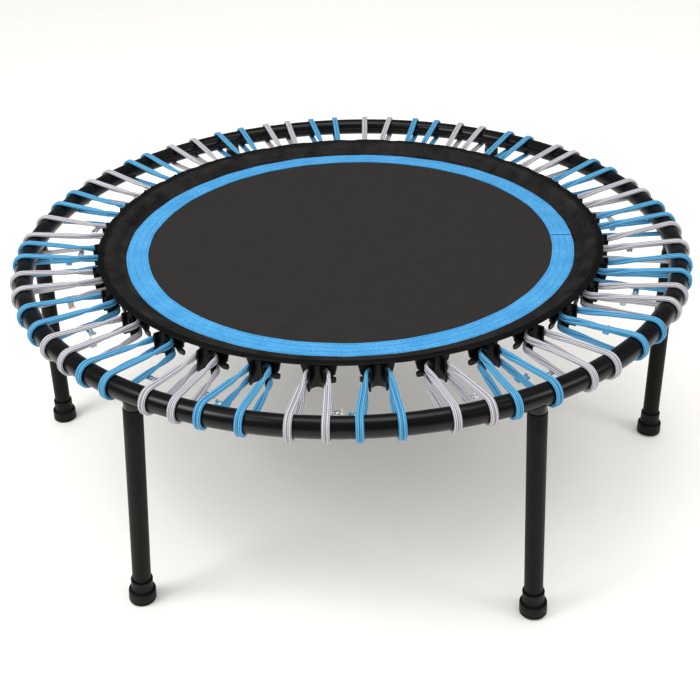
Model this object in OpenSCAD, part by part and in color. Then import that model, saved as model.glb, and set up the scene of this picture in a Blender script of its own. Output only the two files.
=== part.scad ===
// Round mini trampoline: a tube frame in two halves on six screw-in legs, with a woven mat
// hung inside it on thirty-two clips and doubled bungee cord loops.
// Millimetres. The origin is on the floor under the middle of the mat. +Z is up, the front is -Y.
// Angles round the frame are counted from the front, towards +X.

/* [Frame] */
// Outer diameter of the round frame
frame_d = 1016; // [980:2:1060]
// Outer diameter of the frame tube
tube_d = 28; // [27:0.5:29]
// Wall thickness of the frame tube
tube_wall = 1.5; // [1.2:0.1:2]
// Height of the middle of the frame tube above the floor
frame_h = 346; // [280:1:400]
// Angle of the first seam between the two frame halves
seam_angle = 72; // [71:0.5:73]
// Half the angle that a joint sleeve reaches to each side of its seam
sleeve_reach = 7; // [6.5:0.5:9]

/* [Legs] */
// Number of legs
leg_count = 6; // [6]
// Angle of the first leg
first_leg_angle = 26.5; // [26.4:0.1:26.6]
// Outer diameter of a leg tube
leg_d = 25.4; // [24:0.2:26]
// Wall thickness of a leg tube
leg_wall = 1.5; // [1.2:0.1:2]
// Length of the welded stub between the frame tube and a leg
stub_len = 6; // [4:1:12]
// Diameter of the welded stub
stub_d = 23; // [20:0.5:24]
// Diameter of the threaded stud
stud_d = 16; // [12:1:18]
// Length of the threaded stud below its stub
stud_len = 32; // [20:1:40]

/* [Feet] */
// Diameter of a foot cap's base
foot_d = 37.5; // [34:0.5:44]
// Height of a foot cap's base
foot_base_h = 19; // [12:1:26]
// Diameter of the sleeve above the base
foot_sleeve_d = 30; // [29:0.5:32]
// Height of the sleeve above the base
foot_sleeve_h = 19; // [12:1:26]
// Thickness of rubber under the end of the leg
foot_sole = 7; // [5:1:10]

/* [Mat] */
// Diameter of the woven sheet
mat_d = 704; // [700:1:708]
// Thickness of the woven sheet
mat_t = 1.2; // [0.8:0.1:1.3]
// Outer diameter of the sewn band
band_d = 687; // [680:1:688]
// Width of the sewn band
band_w = 33; // [25:1:45]
// Thickness of the sewn band
band_t = 1.2; // [0.8:0.1:2]
// Outer diameter of the raised border flap
flap_d = 768; // [764:1:776]
// Thickness of the border flap
flap_t = 1.8; // [1.4:0.1:2.4]

/* [Clips and cords] */
// Number of clips, each with one bungee loop
clip_count = 32; // [32]
// Angle of the first clip
first_clip_angle = 4.5; // [4:0.5:5]
// Radius from the middle of the mat to the axis of a clip's barrel
barrel_at = 390; // [388:1:392]
// Radius of the barrel at its top
barrel_top_r = 11; // [10:0.5:11.5]
// Radius of the barrel at its bottom
barrel_low_r = 12.5; // [11.5:0.5:12.5]
// Width of a doubled cord
cord_w = 10.6; // [9:0.1:11]
// Thickness of a doubled cord
cord_t = 5.3; // [4.5:0.1:5.5]

/* [Hidden] */
$fn = 64;

tube_r = tube_d / 2;
ring_r = frame_d / 2 - tube_r;
leg_r = leg_d / 2;
mat_r = mat_d / 2;
leg_pitch = 360 / leg_count;
clip_pitch = 360 / clip_count;
// Lean of each leg in degrees, [outwards, sideways towards a larger angle]
leg_leans = [[3.3, 1.2], [0.4, -4.4], [2.8, 0], [2.8, 0], [2.6, 0.2], [2.8, -4.4]];
leg_gap = 0.3;                              // between a leg's top and its stub
leg_top = tube_r + stub_len + leg_gap;
stud_play = 0.05;                           // radial clearance of the stud in its insert
fit_play = 0.05;                            // radial clearance of a piece pushed into or onto a tube
insert_len = 40;

sleeve_play = 0.1;
sleeve_wall = 1.5;
screw_at = 5.6;                             // angle from a seam to each of its screws
screw_r = 2.4;
screw_head_r = 4.8;
screw_head_h = 2.5;
screw_len = 7;

flap_in_r = band_d / 2 + 0.5;
flap_foot_r = mat_r + 1;                    // where the flap turns up off the sheet
flap_knee_r = 362.5;                        // where it levels out over the clips
flap_rise = 13;
flap_lip_rise = 13.5;

clip_top = 12.6;
clip_low = -21.5;
plate_t = 3;
plate_at = barrel_at - 19;                  // outer face of a clip's back plate
barrel_wall = 3;
barrel_wrap = 200;                          // how far round the barrel's wall goes
web_top = -4.8;                             // the web runs between the two turns of the cord
web_low = -8.6;
strap_w = 25;
strap_t = 1.4;
bar_r = 2.5;
bar_at = plate_at - 9.2;
bar_z = -3.2;
strap_in_r = 318;

cord_gap = 0.5;                             // from the cord to the frame tube
turn_gap = 0.8;                             // from the cord to the barrel
wrap_r = tube_r + cord_gap + cord_t / 2;
turn_high = 1.5;
turn_low = -15.6;
wrap_ends = 95;                             // a wrap runs this far each way from the outermost point
strand_steps = [0.3, 0.55, 0.75, 0.9];      // places of a strand's rings, from the frame to the clip
crimp = [13, 7, 6];
crimp_z = -24.8;

// Where each loop wraps the frame, in degrees from its clip: left and right. The loops lie as they
// were pulled on, and those beside a leg or a screw stand clear of it.
loop_wraps = [
    [-3.9, 1.7], [-2.2, 2.9], [-4.6, 1.8], [-3.0, 1.9], [-2.3, 3.5], [-0.6, 4.4], [-1.5, 3.9], [-1.7, 5.4],
    [-2.0, 3.2], [-2.1, 2.7], [-2.0, 3.0], [-2.5, 1.9], [-1.8, 2.9], [-1.7, 3.4], [-2.4, 2.5], [-2.9, 2.7],
    [-1.8, 3.5], [-2.4, 2.5], [-2.9, 2.5], [-2.8, 2.8], [-2.0, 2.6], [-2.5, 2.9], [-2.5, 2.9], [-2.1, 5.4],
    [-2.4, 2.7], [-1.9, 3.6], [-1.2, 5.1], [-1.1, 4.4], [-2.1, 3.0], [-0.9, 3.9], [-3.4, 2.5], [-2.1, 2.9]
];

// ---- places ----

// Points given at the front of the frame, with -Y outwards, are turned to an angle round it.
module around(angle) translate([0, 0, frame_h]) rotate([0, 0, angle]) children();

module at_leg(i) around(first_leg_angle + leg_pitch * (i - 1))
    translate([0, -ring_r, 0]) rotate([-leg_leans[i - 1].x, -leg_leans[i - 1].y, 0]) children();

// From the middle of the frame tube to the floor, along a leg's axis
function leg_axis(i) = frame_h / cos(leg_leans[i - 1].x) / cos(leg_leans[i - 1].y);

// A cylinder along a leg's axis, between two distances down from the middle of the frame tube
module down_leg(r, from, to) translate([0, 0, -to]) cylinder(r = r, h = to - from);

module tube_ring(r_out, r_in, sweep) rotate_extrude(angle = sweep, $fn = 128)
    translate([ring_r, 0]) difference() {
        circle(r_out);
        circle(r_in);
    }

// ---- frame ----

module screw_holes(r) for (seam = [0, 180], side = [-1, 1])
    around(seam_angle + seam + side * screw_at)
        translate([0, -ring_r, -tube_r - 2]) cylinder(r = r, h = 8);

module ring_half(start) color("#1b1b1d") difference() {
    around(start - 90) tube_ring(tube_r, tube_r - tube_wall, 180);
    screw_holes(screw_r + 0.2);
}

module ring_joint_sleeves() color("#77797c") difference() {
    for (seam = [0, 180]) around(seam_angle + seam - sleeve_reach - 90)
        tube_ring(tube_r - tube_wall - sleeve_play,
                  tube_r - tube_wall - sleeve_play - sleeve_wall, 2 * sleeve_reach);
    screw_holes(screw_r + 0.05);
}

module ring_joint_screws() color("#2a2a2c") for (seam = [0, 180], side = [-1, 1])
    around(seam_angle + seam + side * screw_at) translate([0, -ring_r, -tube_r]) {
        translate([0, 0, -screw_head_h]) cylinder(r = screw_head_r, h = screw_head_h);
        translate([0, 0, -0.5]) cylinder(r = screw_r, h = screw_len + 0.5);
    }

module leg_sockets() color("#1b1b1d") for (i = [1:leg_count]) {
    difference() {
        at_leg(i) down_leg(stub_d / 2, tube_r - 5, tube_r + stub_len);
        around(first_leg_angle + leg_pitch * (i - 1) - 90 - 3)
            rotate_extrude(angle = 6, $fn = 128) translate([ring_r, 0]) circle(tube_r);
    }
    at_leg(i) down_leg(stud_d / 2, tube_r + stub_len, tube_r + stub_len + stud_len);
}

// ---- legs ----

module leg_tube(i) color("#23231f") at_leg(i) difference() {
    down_leg(leg_r, leg_top, leg_axis(i) - foot_sole);
    down_leg(leg_r - leg_wall, leg_top - 1, leg_axis(i) - foot_sole + 1);
}

module leg_insert(i) color("#77797c") at_leg(i) difference() {
    down_leg(leg_r - leg_wall - fit_play, leg_top, leg_top + insert_len);
    down_leg(stud_d / 2 + stud_play, leg_top - 1, leg_top + insert_len + 1);
}

module foot_cap(i) color("#1a1a18") difference() {
    floor_at = leg_axis(i);
    base_at = floor_at - foot_base_h;
    at_leg(i) difference() {
        union() {
            down_leg(foot_d / 2, base_at, floor_at + 3);
            down_leg(foot_sleeve_d / 2, base_at - foot_sleeve_h, base_at + 1);
        }
        down_leg(leg_r + fit_play, base_at - foot_sleeve_h - 1, floor_at - foot_sole);
    }
    translate([-frame_d, -frame_d, -20]) cube([2 * frame_d, 2 * frame_d, 20]);
}

// ---- mat ----

module mat_sheet() color("#3c3a36") translate([0, 0, frame_h - mat_t])
    cylinder(r = mat_r, h = mat_t, $fn = 128);

module blue_band() color("#4fa6e0") translate([0, 0, frame_h]) rotate_extrude($fn = 128)
    translate([band_d / 2 - band_w, 0]) square([band_w, band_t]);

module border_flap() color("#2a2927") translate([0, 0, frame_h]) rotate_extrude($fn = 128)
    polygon([
        [flap_in_r, 0], [flap_foot_r, 0], [flap_knee_r, flap_rise], [flap_d / 2, flap_lip_rise],
        [flap_d / 2, flap_lip_rise + flap_t], [flap_knee_r - 1, flap_rise + flap_t],
        [flap_foot_r - 1, flap_t], [flap_in_r, flap_t]
    ]);

function arc(x, y, r, from, to, steps = 4) =
    [for (k = [0:steps]) let (a = from + (to - from) * k / steps) [x + r * cos(a), y + r * sin(a)]];
function mirrored(points) = [for (k = [len(points) - 1:-1:0]) [-points[k].x, points[k].y]];

// Right half of the back plate: a wing behind the upper cord, a waist, and an ear behind the lower one
wing_r = 6;
ear_r = 3.7;
plate_side = concat(
    arc(17, clip_top - wing_r, wing_r, 90, 0),
    [[22.6, 0.5]],
    arc(18, -6.2, 2.8, 0, -70, 2),
    [[16.8, -10.4], [16.8, -12.6]],
    arc(16.8, clip_low + 0.2 + ear_r, ear_r, 60, -90),
    [[9, clip_low + 1.5], [5, -15]]
);

module clip() {
    translate([0, -barrel_at, 0]) rotate([0, 0, 90 - barrel_wrap / 2])
        rotate_extrude(angle = barrel_wrap, $fn = 48) polygon([
            [barrel_top_r - barrel_wall, clip_top], [barrel_top_r, clip_top],
            [barrel_low_r, clip_low], [barrel_low_r - barrel_wall, clip_low]
        ]);
    translate([-4, -barrel_at + barrel_top_r - 2, web_low])
        cube([8, barrel_at - barrel_top_r + 2 - plate_at + 1, web_top - web_low]);
    translate([0, plate_t - plate_at, 0]) rotate([90, 0, 0])
        linear_extrude(plate_t) polygon(concat(plate_side, mirrored(plate_side)));
    for (side = [-1, 1]) translate([side * 15 - 1.6, plate_t - plate_at - 0.5, bar_z - 3.2])
        cube([3.2, 9.4, 6.4]);
    translate([-14, -bar_at, bar_z]) rotate([0, 90, 0]) cylinder(r = bar_r, h = 28, $fn = 32);
}

module mat_clips() color("#0c0c0d") for (k = [0:clip_count - 1])
    around(first_clip_angle + clip_pitch * k) clip();

// A strap of webbing folded round the clip's bar, its two layers sewn under the sheet
module clip_straps() color("#2a2927") for (k = [0:clip_count - 1])
    around(first_clip_angle + clip_pitch * k) rotate([90, 0, -90])
        linear_extrude(strap_w, center = true) difference() {
            union() {
                translate([bar_at, bar_z]) circle(bar_r + 0.25 + strap_t, $fn = 32);
                translate([strap_in_r, bar_z - 1.5]) square([bar_at - strap_in_r, 3]);
            }
            translate([bar_at, bar_z]) circle(bar_r + 0.25, $fn = 32);
        }

// ---- cords ----

function unit(v) = v / norm(v);
function lerp(a, b, t) = a + (b - a) * t;
function ease(t) = let (c = min(max(t, 0), 1)) c * c * (3 - 2 * c);
function barrel_r(z) = lerp(barrel_low_r, barrel_top_r, (z - clip_low) / (clip_top - clip_low));
function turn_r(z) = barrel_r(z) + turn_gap + cord_t / 2;

// Each place on a cord is [point, direction of its wide side].
function turn(z, from, to) = [for (k = [0:6]) let (a = lerp(from, to, k / 6))
    [[turn_r(z) * cos(a), -barrel_at + turn_r(z) * sin(a), z], [0, 0, 1]]];
function wrap(angle, from, to) = [for (k = [0:8])
    let (a = lerp(from, to, k / 8), reach = ring_r + wrap_r * cos(a))
    [[reach * sin(angle), -reach * cos(angle), wrap_r * sin(a)], [cos(angle), sin(angle), 0]]];
function strand(wrap_end, turn_end) = [for (t = strand_steps)
    let (twist = 90 * ease((t - 0.45) / 0.55))
    [lerp(wrap_end[0], turn_end[0], t), wrap_end[1] * cos(twist) + [0, 0, sin(twist)]]];
function backwards(list) = [for (k = [len(list) - 1:-1:0]) list[k]];

function cord_route(wraps) = let (
        high = turn(turn_high, 0, 180), low = turn(turn_low, 180, 0),
        left = wrap(wraps[0], wrap_ends, -wrap_ends),
        right = wrap(wraps[1], -wrap_ends, wrap_ends))
    concat(
        high, backwards(strand(left[0], high[6])), left, strand(left[8], low[0]),
        low, backwards(strand(right[0], low[6])), right, strand(right[8], high[0])
    );

// Closed flat tube along a route
section = [[1, 0], [0.6, 1], [-0.6, 1], [-1, 0], [-0.6, -1], [0.6, -1]];
module cord(route) {
    n = len(route);
    m = len(section);
    rings = [for (k = [0:n - 1])
        let (ahead = unit(route[(k + 1) % n][0] - route[(k + n - 1) % n][0]),
             thin = unit(cross(ahead, route[k][1])),
             wide = cross(thin, ahead))
        for (s = section) route[k][0] + wide * s.x * cord_w / 2 + thin * s.y * cord_t / 2];
    faces = [for (k = [0:n - 1], j = [0:m - 1])
        let (a = k * m + j, b = k * m + (j + 1) % m,
             c = (k + 1) % n * m + (j + 1) % m, d = (k + 1) % n * m + j)
        each [[a, c, b], [a, d, c]]];
    polyhedron(rings, faces);
}

// One endless doubled cord, with the crimp that joins its ends under a lower strand
module bungee(k) around(first_clip_angle + clip_pitch * k) {
    wraps = loop_wraps[k];
    cord(cord_route(wraps));
    right = k % 3 == 0 ? 0 : 1;
    crimp_r = ring_r - 58 - 6 * (k % 3);
    along = (ring_r - crimp_r) / (ring_r - barrel_at);
    crimp_x = lerp(ring_r * sin(wraps[right]), (2 * right - 1) * turn_r(turn_low), along);
    translate([crimp_x, -crimp_r, crimp_z]) rotate([0, 0, wraps[right]]) cube(crimp, center = true);
}
module blue_bungee(i) color("#4ba6d9") bungee(2 * (i - 1));
module silver_bungee(i) color("#c9c7ce") bungee(2 * i - 1);

ring_half(seam_angle + 180);  // ring_front_half
ring_half(seam_angle);  // ring_back_half
ring_joint_sleeves();
ring_joint_screws();
leg_sockets();
for (i = [1:6]) {
    leg_tube(i);
    leg_insert(i);
    foot_cap(i);
}
mat_sheet();
blue_band();
border_flap();
mat_clips();
clip_straps();
for (i = [1:16]) {
    blue_bungee(i);
    silver_bungee(i);
}
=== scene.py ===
import math
import random
from math import atan2, cos, exp, hypot, radians, sin, sqrt

import bmesh
import bpy
from mathutils import Matrix, Vector, noise


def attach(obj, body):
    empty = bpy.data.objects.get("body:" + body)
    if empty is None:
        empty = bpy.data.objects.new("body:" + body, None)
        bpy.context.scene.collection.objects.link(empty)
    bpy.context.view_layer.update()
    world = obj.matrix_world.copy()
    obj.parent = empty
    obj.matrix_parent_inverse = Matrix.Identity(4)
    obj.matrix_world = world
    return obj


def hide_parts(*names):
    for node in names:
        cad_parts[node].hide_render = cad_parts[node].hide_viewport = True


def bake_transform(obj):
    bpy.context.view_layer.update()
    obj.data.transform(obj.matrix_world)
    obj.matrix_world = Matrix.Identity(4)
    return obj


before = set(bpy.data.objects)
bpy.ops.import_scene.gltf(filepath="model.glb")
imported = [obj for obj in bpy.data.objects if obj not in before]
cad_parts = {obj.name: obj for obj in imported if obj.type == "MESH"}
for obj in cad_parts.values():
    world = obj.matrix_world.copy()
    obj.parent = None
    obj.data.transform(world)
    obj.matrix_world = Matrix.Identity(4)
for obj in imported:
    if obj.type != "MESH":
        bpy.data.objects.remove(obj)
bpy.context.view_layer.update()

mm = 0.001
turnOf = math.tau

# The frame tube's middle line is a level circle; angles round it are counted from the front.
layout = {
    "ringRadius": 494.0,
    "tubeRadius": 14.0,
    "ringHeight": 346.0,
    "seamAngle": 72.0,
    "firstLeg": 26.5,
    "legPitch": 60.0,
    "firstClip": 4.5,
    "clipCount": 32,
}
clipPitch = 360 / layout["clipCount"]
# Lean of each leg in degrees: outwards, then sideways towards a larger angle.
legLeans = [(3.3, 1.2), (0.4, -4.4), (2.8, 0), (2.8, 0), (2.6, 0.2), (2.8, -4.4)]


def add(tree, kind, links=(), **settings):
    node = tree.nodes.new(kind)
    for name, value in settings.items():
        setattr(node, name, value)
    for socket, value in dict(links).items():
        if isinstance(value, bpy.types.NodeSocket):
            tree.links.new(value, node.inputs[socket])
        else:
            node.inputs[socket].default_value = value
    return node


def placed(name, data):
    piece = bpy.data.objects.new(name, data)
    bpy.context.collection.objects.link(piece)
    return piece


# Camera and studio.
cameraView = {"place": (0, -1.4785, 1.0716), "target": (-0.005, 0, 0.141), "roll": -1.69, "lens": 54.06}
# How bright the white surroundings are to the camera, in reflections and as soft light.
studio = {"floorSize": 24, "floorDrop": 0.0004, "seen": 1.0, "mirrored": 0.16, "diffuse": 0.92,
    "lightsAim": (0, 0, 0.3)}
softboxes = [  # name, place in metres, size, watts
    ("keySoftbox", (-1.35, -0.75, 1.9), 0.9, 20),
    ("fillSoftbox", (1.9, -0.9, 1.7), 0.9, 9),
    ("topSoftbox", (0.1, 0.1, 2.7), 1.6, 19),
]


def aimedAt(place, target):
    turn = (Vector(target) - Vector(place)).to_track_quat("-Z", "Y").to_matrix().to_4x4()
    return Matrix.Translation(place) @ turn


def makeCamera():
    lens = bpy.data.cameras.new("camera")
    lens.lens = cameraView["lens"]
    camera = placed("camera", lens)
    roll = Matrix.Rotation(radians(cameraView["roll"]), 4, "Z")
    camera.matrix_world = aimedAt(cameraView["place"], cameraView["target"]) @ roll
    bpy.context.scene.camera = camera


def makeLights():
    for name, place, size, watts in softboxes:
        lamp = bpy.data.lights.new(name, "AREA")
        lamp.shape = "DISK"
        lamp.size = size
        lamp.energy = watts
        placed(name, lamp).matrix_world = aimedAt(place, studio["lightsAim"])
    world = bpy.data.worlds.new("studio")
    world.use_nodes = True
    tree = world.node_tree
    rays = add(tree, "ShaderNodeLightPath").outputs
    strength = studio["diffuse"]
    for ray, other in (("Is Glossy Ray", studio["mirrored"]), ("Is Camera Ray", studio["seen"])):
        choice = add(tree, "ShaderNodeMix", {"Factor": rays[ray], "A": strength, "B": other})
        strength = choice.outputs["Result"]
    background = tree.nodes["Background"].inputs
    background["Color"].default_value = (1, 1, 1, 1)
    tree.links.new(strength, background["Strength"])
    bpy.context.scene.world = world
    bpy.context.scene.view_settings.view_transform = "Standard"  # so that the dyed colours stay as mixed


makeCamera()
makeLights()
print("camera and lights are in")


# Node and material helpers.

# A colour code as linear light, made darker or brighter by a factor.
def linear(code, times=1.0):
    parts = [int(code[i:i + 2], 16) / 255 for i in (1, 3, 5)]
    light = [p / 12.92 if p <= 0.04045 else ((p + 0.055) / 1.055) ** 2.4 for p in parts]
    return [min(1.0, p * times) for p in light] + [1.0]


def newMaterial(name, colour, **sockets):
    material = bpy.data.materials.new(name)
    material.use_nodes = True
    tree = material.node_tree
    shader = tree.nodes["Principled BSDF"]
    shader.inputs["Base Color"].default_value = linear(colour)
    for socket, value in sockets.items():
        shader.inputs[socket.replace("_", " ")].default_value = value
    return material, tree, shader


# Mixes two tones: outputs, linear colours or colour codes.
def mixed(tree, amount, *tones):
    first, second = [linear(tone) if isinstance(tone, str) else tone for tone in tones]
    return add(tree, "ShaderNodeMix", {0: amount, 6: first, 7: second}, data_type="RGBA").outputs[2]


def scaled(tree, value, low, high, fromLow=0.0, fromHigh=1.0):
    return add(tree, "ShaderNodeMapRange", {0: value, 1: fromLow, 2: fromHigh, 3: low, 4: high}).outputs[0]


def worked(tree, operation, first, second=0.0, third=0.0):
    return add(tree, "ShaderNodeMath", {0: first, 1: second, 2: third}, operation=operation).outputs[0]


def grain(tree, place, sizeMm, detail=2.0, rough=0.5):
    return add(tree, "ShaderNodeTexNoise", {"Vector": place, "Scale": 1 / (sizeMm * mm), "Detail": detail,
        "Roughness": rough}).outputs[0]


def wave(tree, place, periodMm, along="X", distortion=0.0):
    return add(tree, "ShaderNodeTexWave", {"Vector": place, "Scale": turnOf / (20 * periodMm * mm),
        "Distortion": distortion}, bands_direction=along).outputs["Fac"]


def objectPlace(tree):
    return add(tree, "ShaderNodeTexCoord").outputs["Object"]


def ownMap(tree):
    return add(tree, "ShaderNodeUVMap", uv_map="UVMap").outputs[0]


# Links a colour, a roughness and a bump of (height, depth in mm, strength) to the shader.
def dress(tree, shader, colour=None, roughness=None, bump=None):
    if colour:
        tree.links.new(colour, shader.inputs["Base Color"])
    if roughness:
        tree.links.new(roughness, shader.inputs["Roughness"])
    if bump:
        height, depth, strength = bump
        raised = add(tree, "ShaderNodeBump", {"Height": height, "Distance": depth * mm, "Strength": strength})
        tree.links.new(raised.outputs[0], shader.inputs["Normal"])


# A plain material: one cloud of noise, (size in mm, detail, roughness), mixes two tones and moves the
# roughness. Its bump is (size in mm of a grain, or None for the cloud itself; depth in mm; strength).
def clouded(name, colour, cloud, tones=None, roughness=None, bump=None, **sockets):
    material, tree, shader = newMaterial(name, colour, **sockets)
    place = objectPlace(tree)
    patches = grain(tree, place, *cloud)
    tone = mixed(tree, patches, *tones) if tones else None
    dull = scaled(tree, patches, *roughness) if roughness else None
    raised = (grain(tree, place, bump[0]) if bump[0] else patches, *bump[1:]) if bump else None
    dress(tree, shader, tone, dull, raised)
    return material


# Polyester powder baked on steel tube: satin black with a fine orange peel.
def powderCoat(name, colour, roughness, shine):
    return clouded(name, colour, (60, 3), (colour, linear(colour, 1.35)),
        (roughness - 0.04, roughness + 0.05), (1.6, 0.05, 0.5), Specular_IOR_Level=shine)


# Bonded polyester thread, with its twist.
def sewingThread(name, colour):
    return clouded(name, colour, (0.6, 2), (linear(colour, 0.7), colour), bump=(None, 0.04, 0.6),
        Roughness=0.6, Sheen_Weight=0.15)


# Mat cloth: flat polypropylene tapes in a plain weave. The tapes are near 1 mm and
# are drawn 2.2 mm wide, which is as fine as shows.
def wovenTape(name, dark, light, pitch=2.2):
    material, tree, shader = newMaterial(name, light, Specular_IOR_Level=0.15, Sheen_Weight=0.03,
        Sheen_Roughness=0.5)
    place = objectPlace(tree)
    across, along = wave(tree, place, pitch, "X"), wave(tree, place, pitch, "Y")
    over = add(tree, "ShaderNodeTexChecker", {"Vector": place, "Scale": 1 / (pitch * mm),
        "Color1": (0, 0, 0, 1), "Color2": (1, 1, 1, 1)}).outputs["Fac"]
    weave = add(tree, "ShaderNodeMix", {0: over, 2: across, 3: along}).outputs[0]
    fine = worked(tree, "MULTIPLY", grain(tree, place, 1.5, 2), 0.3)
    slub = worked(tree, "MULTIPLY_ADD", grain(tree, place, 26, 4, 0.6), 0.5, fine)
    shade = worked(tree, "MULTIPLY_ADD", weave, 0.35, slub)
    dress(tree, shader, mixed(tree, shade, dark, light), scaled(tree, weave, 0.62, 0.48),
        (weave, 0.16, 0.6))
    return material


# Woven polyester webbing, piece-dyed: ribs across its width and a speckle a few millimetres long.
def dyedWebbing(name, dark, middle, light, ribPitch, sheen):
    material, tree, shader = newMaterial(name, middle, Roughness=0.75, Specular_IOR_Level=0.12,
        Sheen_Weight=sheen, Sheen_Roughness=0.4)
    flat, place = ownMap(tree), objectPlace(tree)
    ribs = worked(tree, "MULTIPLY_ADD", wave(tree, flat, ribPitch, "X", 0.6), 0.6, 0.4)
    rows = worked(tree, "MULTIPLY_ADD", wave(tree, flat, ribPitch * 0.9, "Y", 0.4), 0.5, 0.5)
    weave = worked(tree, "MULTIPLY", ribs, rows)
    patch = scaled(tree, grain(tree, place, 38, 3), 0, 1, 0.3, 0.7)
    speckle = scaled(tree, grain(tree, place, 1.9, 3, 0.7), 0, 1, 0.36, 0.66)
    dotted = mixed(tree, speckle, dark, mixed(tree, patch, middle, light))
    dress(tree, shader, mixed(tree, scaled(tree, weave, 0.25, 0), dotted, dark),
        bump=(weave, 0.22, 0.7))
    return material


# PVC-coated polyester border cloth: soft, slightly shiny, its weave only just raised.
def coatedCloth(name, dark, light, roughness):
    material, tree, shader = newMaterial(name, light, Specular_IOR_Level=0.08)
    place = objectPlace(tree)
    cloud = grain(tree, place, 34, 4, 0.6)
    weave = worked(tree, "MULTIPLY", wave(tree, place, 1.7, "X"), wave(tree, place, 1.7, "Y"))
    dress(tree, shader, mixed(tree, scaled(tree, cloud, 0, 1, 0.3, 0.7), dark, light),
        scaled(tree, cloud, roughness - 0.06, roughness + 0.06),
        (worked(tree, "MULTIPLY_ADD", cloud, 3.0, weave), 0.12, 0.5))
    return material


# Braided polyester sheath over latex, with painted light: the pale lines along the cord are a painted highlight
# on its long floats, and the grooves between them are painted shade.
def braidedSheath(name, dark, middle, light):
    material, tree, shader = newMaterial(name, middle, Roughness=0.5, Specular_IOR_Level=0.25,
        Sheen_Weight=0.05, Sheen_Roughness=0.35)
    around = add(tree, "ShaderNodeSeparateXYZ", {0: ownMap(tree)}).outputs[0]
    lines = worked(tree, "SINE", worked(tree, "MULTIPLY", around, turnOf * 6))
    fuzz = grain(tree, objectPlace(tree), 1.3, 3, 0.7)
    # Painted highlight: a pale line along each float, mixed from the middle tone towards the light tone.
    paintedHighlight = worked(tree, "MULTIPLY_ADD", lines, 0.45, worked(tree, "MULTIPLY_ADD", fuzz, 0.9, -0.05))
    shade = mixed(tree, scaled(tree, paintedHighlight, 0, 1, 0.1, 0.9), middle, light)
    height = worked(tree, "MULTIPLY_ADD", fuzz, 0.5, worked(tree, "MULTIPLY", lines, 0.5))
    # Painted shade: the grooves between the floats are mixed towards the dark tone.
    dress(tree, shader, mixed(tree, scaled(tree, lines, 0.6, 0, -1.0, 0.1), shade, dark),
        bump=(height, 0.14, 0.6))
    return material


# Cut latex strands in a cord's end: cream and dull.
def latexCore():
    material, tree, shader = newMaterial("cutLatex", "#CDBB78", Roughness=0.6)
    strands = add(tree, "ShaderNodeTexVoronoi", {"Vector": objectPlace(tree), "Scale": 1 / (0.7 * mm)})
    dress(tree, shader, mixed(tree, strands.outputs[0], "#E0D092", "#A8924E"))
    return material


frameCoat = powderCoat("satinPowderCoatFrame", "#070708", 0.28, 0.28)
legCoat = powderCoat("satinPowderCoatLegs", "#0D0D0B", 0.46, 0.12)
# Electroplated zinc: cool grey, faintly mottled, half glossy.
zinc = clouded("zincPlatedSteel", "#B4B7BB", (3.5, 3), ("#A7ABB0", "#C3C5C8"), (0.3, 0.42),
    Metallic=1.0)
# Black zinc on small screws: a dark metal with a soft grain.
darkZinc = clouded("blackZincSteel", "#2A2A2C", (1.2, 2), None, (0.35, 0.5), (None, 0.02, 0.4), Metallic=1.0)
# Soft aluminium pressed in a die: bright, with fine scratches.
aluminium = clouded("pressedAluminium", "#D5D7DA", (1.0, 4, 0.7), None, (0.2, 0.4), (None, 0.03, 0.5),
    Metallic=1.0)
# Injection-moulded rubber: nearly black, dull, with a slight bloom.
rubber = clouded("mouldedRubber", "#0E0E0D", (14, 4), ("#090908", "#121211"), (0.42, 0.6),
    (0.7, 0.03, 0.5), Specular_IOR_Level=0.18)
# Injection-moulded nylon: deep black and glossy, with a faint flow texture.
nylon = clouded("mouldedNylon", "#060607", (6, 3), ("#040404", "#080809"), (0.2, 0.36),
    (0.8, 0.015, 0.5), Specular_IOR_Level=0.16)
# Seamless studio floor, painted off-white.
paintedFloor = clouded("paintedFloor", "#FBF8F4", (180, 2), ("#FAF7F2", "#FCFAF6"),
    Roughness=0.9, Specular_IOR_Level=0.0)
matCloth = wovenTape("wovenPolypropyleneMat", "#181715", "#2C2A27")
bandWebbing = dyedWebbing("dyedWebbingBand", "#2F80B6", "#4596C9", "#62B0E0", 1.6, 0.05)
strapWebbing = dyedWebbing("blackWebbingStraps", "#0A0A0A", "#141413", "#1C1B1A", 1.8, 0.03)
flapCloth = coatedCloth("coatedPolyesterFlap", "#151413", "#2A2826", 0.55)
hemTape = coatedCloth("coatedPolyesterHem", "#0A0909", "#100F0F", 0.45)
# In each sheath the light tone is the painted highlight on the floats and the dark tone the painted shade in
# their grooves.
blueSheath = braidedSheath("braidedSheathBlue", "#155074", "#3784B0", "#62AFD8")
silverSheath = braidedSheath("braidedSheathSilver", "#5D5A60", "#9C9AA1", "#CFCDD4")
latex = latexCore()
blueThread, blackThread = sewingThread("blueThread", "#3A86BA"), sewingThread("blackThread", "#0A0A0A")
seamThread = sewingThread("darkBlueThread", "#1C4FA6")
print("materials are mixed")


# Mesh helpers.

def newPiece(name, corners, faces, materials, faceMaterials=None):
    mesh = bpy.data.meshes.new(name)
    mesh.from_pydata([Vector(c) * mm for c in corners], [], faces)
    for material in materials:
        mesh.materials.append(material)
    if faceMaterials:
        mesh.polygons.foreach_set("material_index", faceMaterials)
    mesh.shade_smooth()
    return placed(name, mesh)


def shadeByAngle(piece, degrees):
    piece.data.set_sharp_from_angle(angle=radians(degrees))


def polar(r, angle, z):
    return r * cos(angle), r * sin(angle), z


def turns(count):
    return [turnOf * k / count for k in range(count)]


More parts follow.
